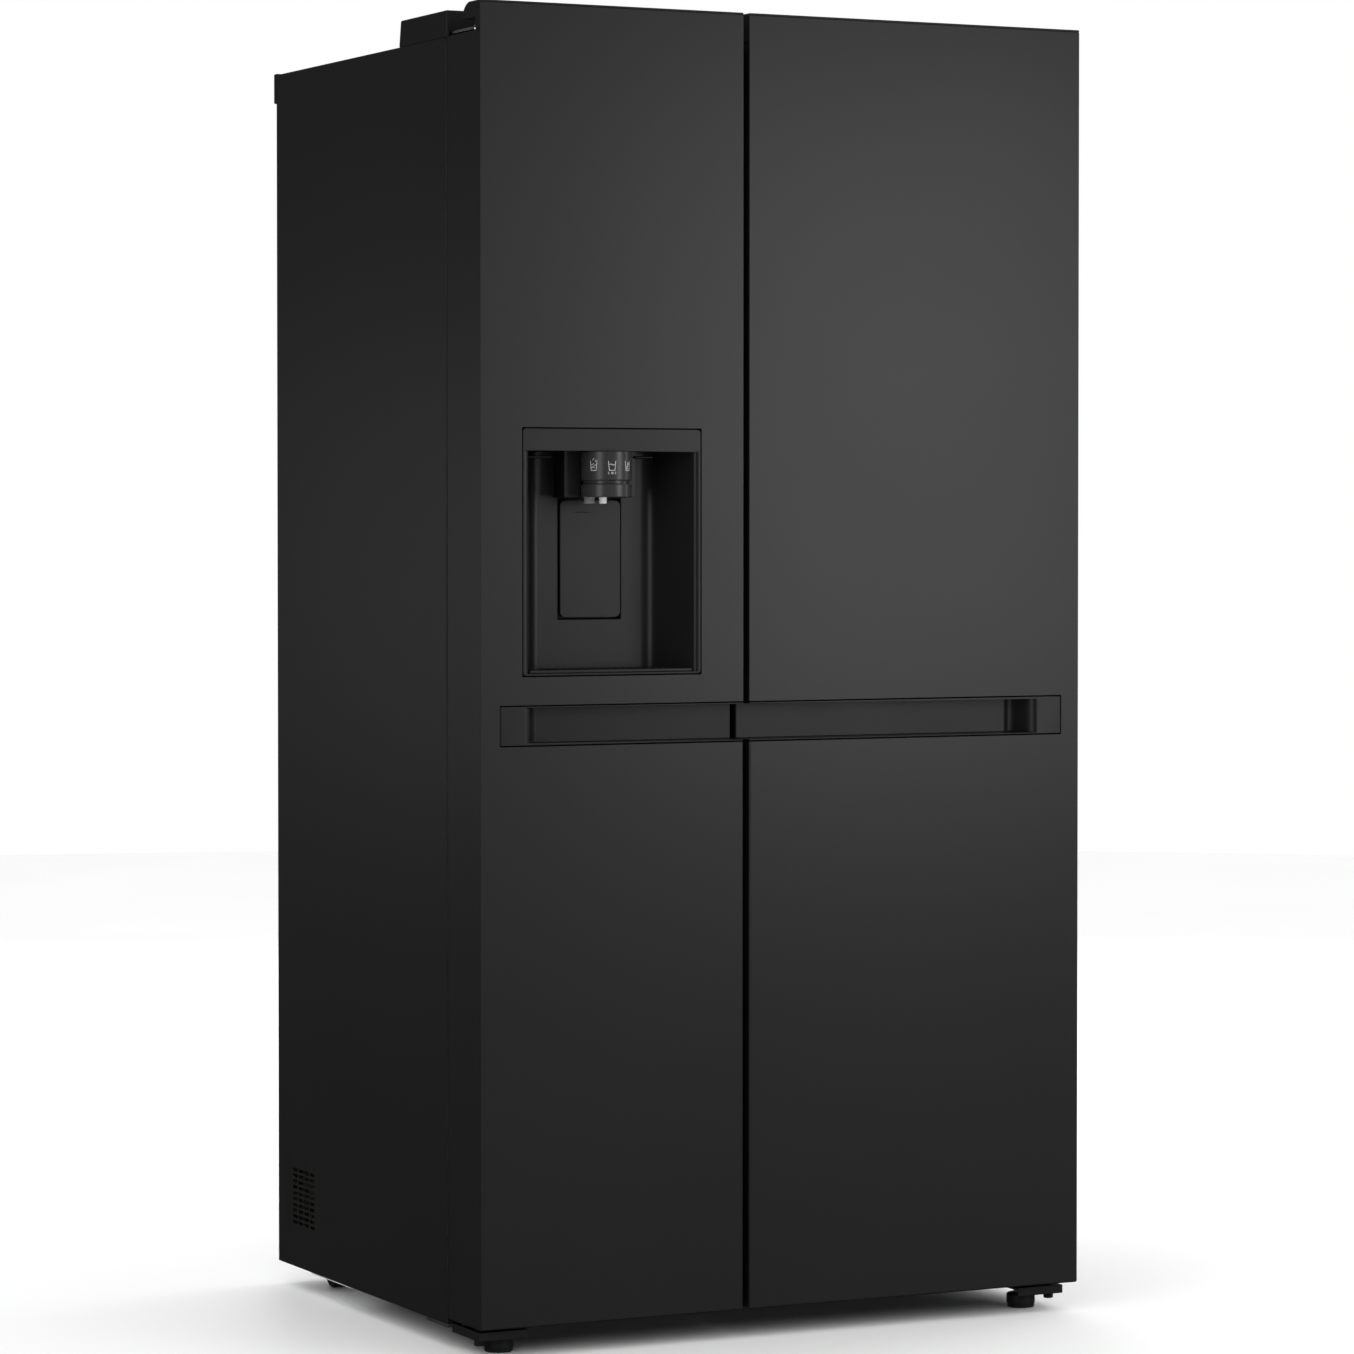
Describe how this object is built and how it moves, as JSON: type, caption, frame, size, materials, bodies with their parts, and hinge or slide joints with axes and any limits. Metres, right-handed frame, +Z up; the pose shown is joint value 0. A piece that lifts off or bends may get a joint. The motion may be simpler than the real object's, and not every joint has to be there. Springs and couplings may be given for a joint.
{
  "type": "side-by-side refrigerator",
  "caption": "Tall side-by-side refrigerator and freezer with two full-height doors, recessed handles and an ice and water dispenser in the freezer door.",
  "frame": {"origin": "on the floor, under the middle of the whole object's bounding box", "axes": "+Z up; the doors face -Y; +X to the right of someone facing the doors, so the freezer door is at -X"},
  "size_m": [0.913, 0.749, 1.79],
  "materials": {
    "black_steel": "satin",
    "black_plastic": "satin",
    "white_plastic": "satin",
    "clear_plastic": "gloss",
    "zinc_steel": "satin",
    "foam_core": "matte",
    "dark_rubber": "matte",
    "shelf_glass": "gloss"
  },
  "bodies": {
    "cabinet": {"left_side_panel": "black_steel", "right_side_panel": "black_steel", "top_panel": "black_steel", "rear_panel": "zinc_steel", "machine_room_cover": "zinc_steel", "base_frame": "zinc_steel", "insulation_core": "foam_core", "freezer_liner": "white_plastic", "fridge_liner": "white_plastic", "front_flange": "black_steel", "rear_top_rail": "black_plastic", "left_hinge_cover": "black_plastic", "right_hinge_cover": "black_plastic", "left_top_hinge": "zinc_steel", "right_top_hinge": "zinc_steel", "left_bottom_hinge": "black_steel", "right_bottom_hinge": "black_steel", "evaporation_pan": "white_plastic", "compressor": "black_steel", "condenser": "zinc_steel", "water_valve": "white_plastic", "freezer_rear_cover": "white_plastic", "freezer_shelf_1": "shelf_glass", "fridge_shelf_1": "shelf_glass", "freezer_shelf_2": "shelf_glass", "fridge_shelf_2": "shelf_glass", "freezer_shelf_3": "shelf_glass", "fridge_shelf_3": "shelf_glass"},
    "freezer_door": {"freezer_door_skin": "black_steel", "freezer_door_core": "foam_core", "freezer_door_liner": "white_plastic", "freezer_door_gasket": "dark_rubber", "freezer_door_cap": "black_plastic", "freezer_door_handle": "black_plastic", "freezer_door_bin_1": "clear_plastic", "freezer_door_bin_2": "clear_plastic", "ice_bin": "clear_plastic", "dispenser_housing": "black_plastic", "dispenser_spout": "black_plastic"},
    "fridge_door": {"fridge_door_skin": "black_steel", "fridge_door_core": "foam_core", "fridge_door_liner": "white_plastic", "fridge_door_gasket": "dark_rubber", "fridge_door_cap": "black_plastic", "fridge_door_handle": "black_plastic", "fridge_door_bin_1": "clear_plastic", "fridge_door_bin_2": "clear_plastic", "fridge_door_bin_3": "clear_plastic"},
    "left_foot": {"left_foot": "black_plastic"},
    "right_foot": {"right_foot": "black_plastic"},
    "left_roller": {"left_roller": "black_plastic"},
    "right_roller": {"right_roller": "black_plastic"},
    "condenser_fan": {"condenser_fan": "black_plastic"},
    "freezer_drawer_1": {"freezer_drawer_1": "clear_plastic"},
    "freezer_drawer_2": {"freezer_drawer_2": "clear_plastic"},
    "crisper_drawer_1": {"crisper_drawer_1": "clear_plastic"},
    "crisper_drawer_2": {"crisper_drawer_2": "clear_plastic"},
    "dispenser_dial": {"dispenser_dial": "black_plastic"},
    "dispenser_paddle": {"dispenser_paddle": "black_plastic"},
    "drip_tray": {"drip_tray": "black_plastic"}
  },
  "joints": [
    {"name": "freezer_door_hinge", "type": "hinge", "parent": "cabinet", "child": "freezer_door", "pos_m": [-0.4385, -0.3125, 0.9], "axis": [0, 0, 1], "range_deg": [-110, 0]},
    {"name": "fridge_door_hinge", "type": "hinge", "parent": "cabinet", "child": "fridge_door", "pos_m": [0.4385, -0.3125, 0.9], "axis": [0, 0, 1], "range_deg": [0, 110]},
    {"name": "freezer_drawer_1_slide", "type": "slide", "parent": "cabinet", "child": "freezer_drawer_1", "axis": [0, -1, 0], "range_m": [0, 0.15]},
    {"name": "freezer_drawer_2_slide", "type": "slide", "parent": "cabinet", "child": "freezer_drawer_2", "axis": [0, -1, 0], "range_m": [0, 0.15]},
    {"name": "crisper_drawer_1_slide", "type": "slide", "parent": "cabinet", "child": "crisper_drawer_1", "axis": [0, -1, 0], "range_m": [0, 0.15]},
    {"name": "crisper_drawer_2_slide", "type": "slide", "parent": "cabinet", "child": "crisper_drawer_2", "axis": [0, -1, 0], "range_m": [0, 0.15]},
    {"name": "dispenser_dial_turn", "type": "hinge", "parent": "freezer_door", "child": "dispenser_dial", "pos_m": [-0.26435, -0.3405, 1.18], "axis": [0, 0, 1], "range_deg": [-40, 40]},
    {"name": "dispenser_paddle_press", "type": "hinge", "parent": "freezer_door", "child": "dispenser_paddle", "pos_m": [-0.26435, -0.2865, 1.128], "axis": [1, 0, 0], "range_deg": [0, 4.5], "stiffness_Nm_per_rad": 2},
    {"name": "drip_tray_slide", "type": "slide", "parent": "freezer_door", "child": "drip_tray", "axis": [0, -1, 0], "range_m": [0, 0.06]},
    {"name": "left_foot_turn", "type": "hinge", "parent": "cabinet", "child": "left_foot", "pos_m": [-0.403, -0.2965, 0.02], "axis": [0, 0, 1], "continuous": true},
    {"name": "right_foot_turn", "type": "hinge", "parent": "cabinet", "child": "right_foot", "pos_m": [0.403, -0.2965, 0.02], "axis": [0, 0, 1], "continuous": true},
    {"name": "left_roller_spin", "type": "hinge", "parent": "cabinet", "child": "left_roller", "pos_m": [-0.3945, 0.2835, 0.02], "axis": [1, 0, 0], "continuous": true},
    {"name": "right_roller_spin", "type": "hinge", "parent": "cabinet", "child": "right_roller", "pos_m": [0.3945, 0.2835, 0.02], "axis": [1, 0, 0], "continuous": true},
    {"name": "condenser_fan_spin", "type": "hinge", "parent": "cabinet", "child": "condenser_fan", "pos_m": [-0.06, 0.252, 0.1223], "axis": [1, 0, 0], "continuous": true}
  ],
  "couplings": [
    {"joint": "freezer_drawer_1_slide", "follows": "freezer_door_hinge", "m_per_rad": -0.078},
    {"joint": "freezer_drawer_2_slide", "follows": "freezer_door_hinge", "m_per_rad": -0.078},
    {"joint": "crisper_drawer_1_slide", "follows": "fridge_door_hinge", "m_per_rad": 0.078},
    {"joint": "crisper_drawer_2_slide", "follows": "fridge_door_hinge", "m_per_rad": 0.078}
  ]
}
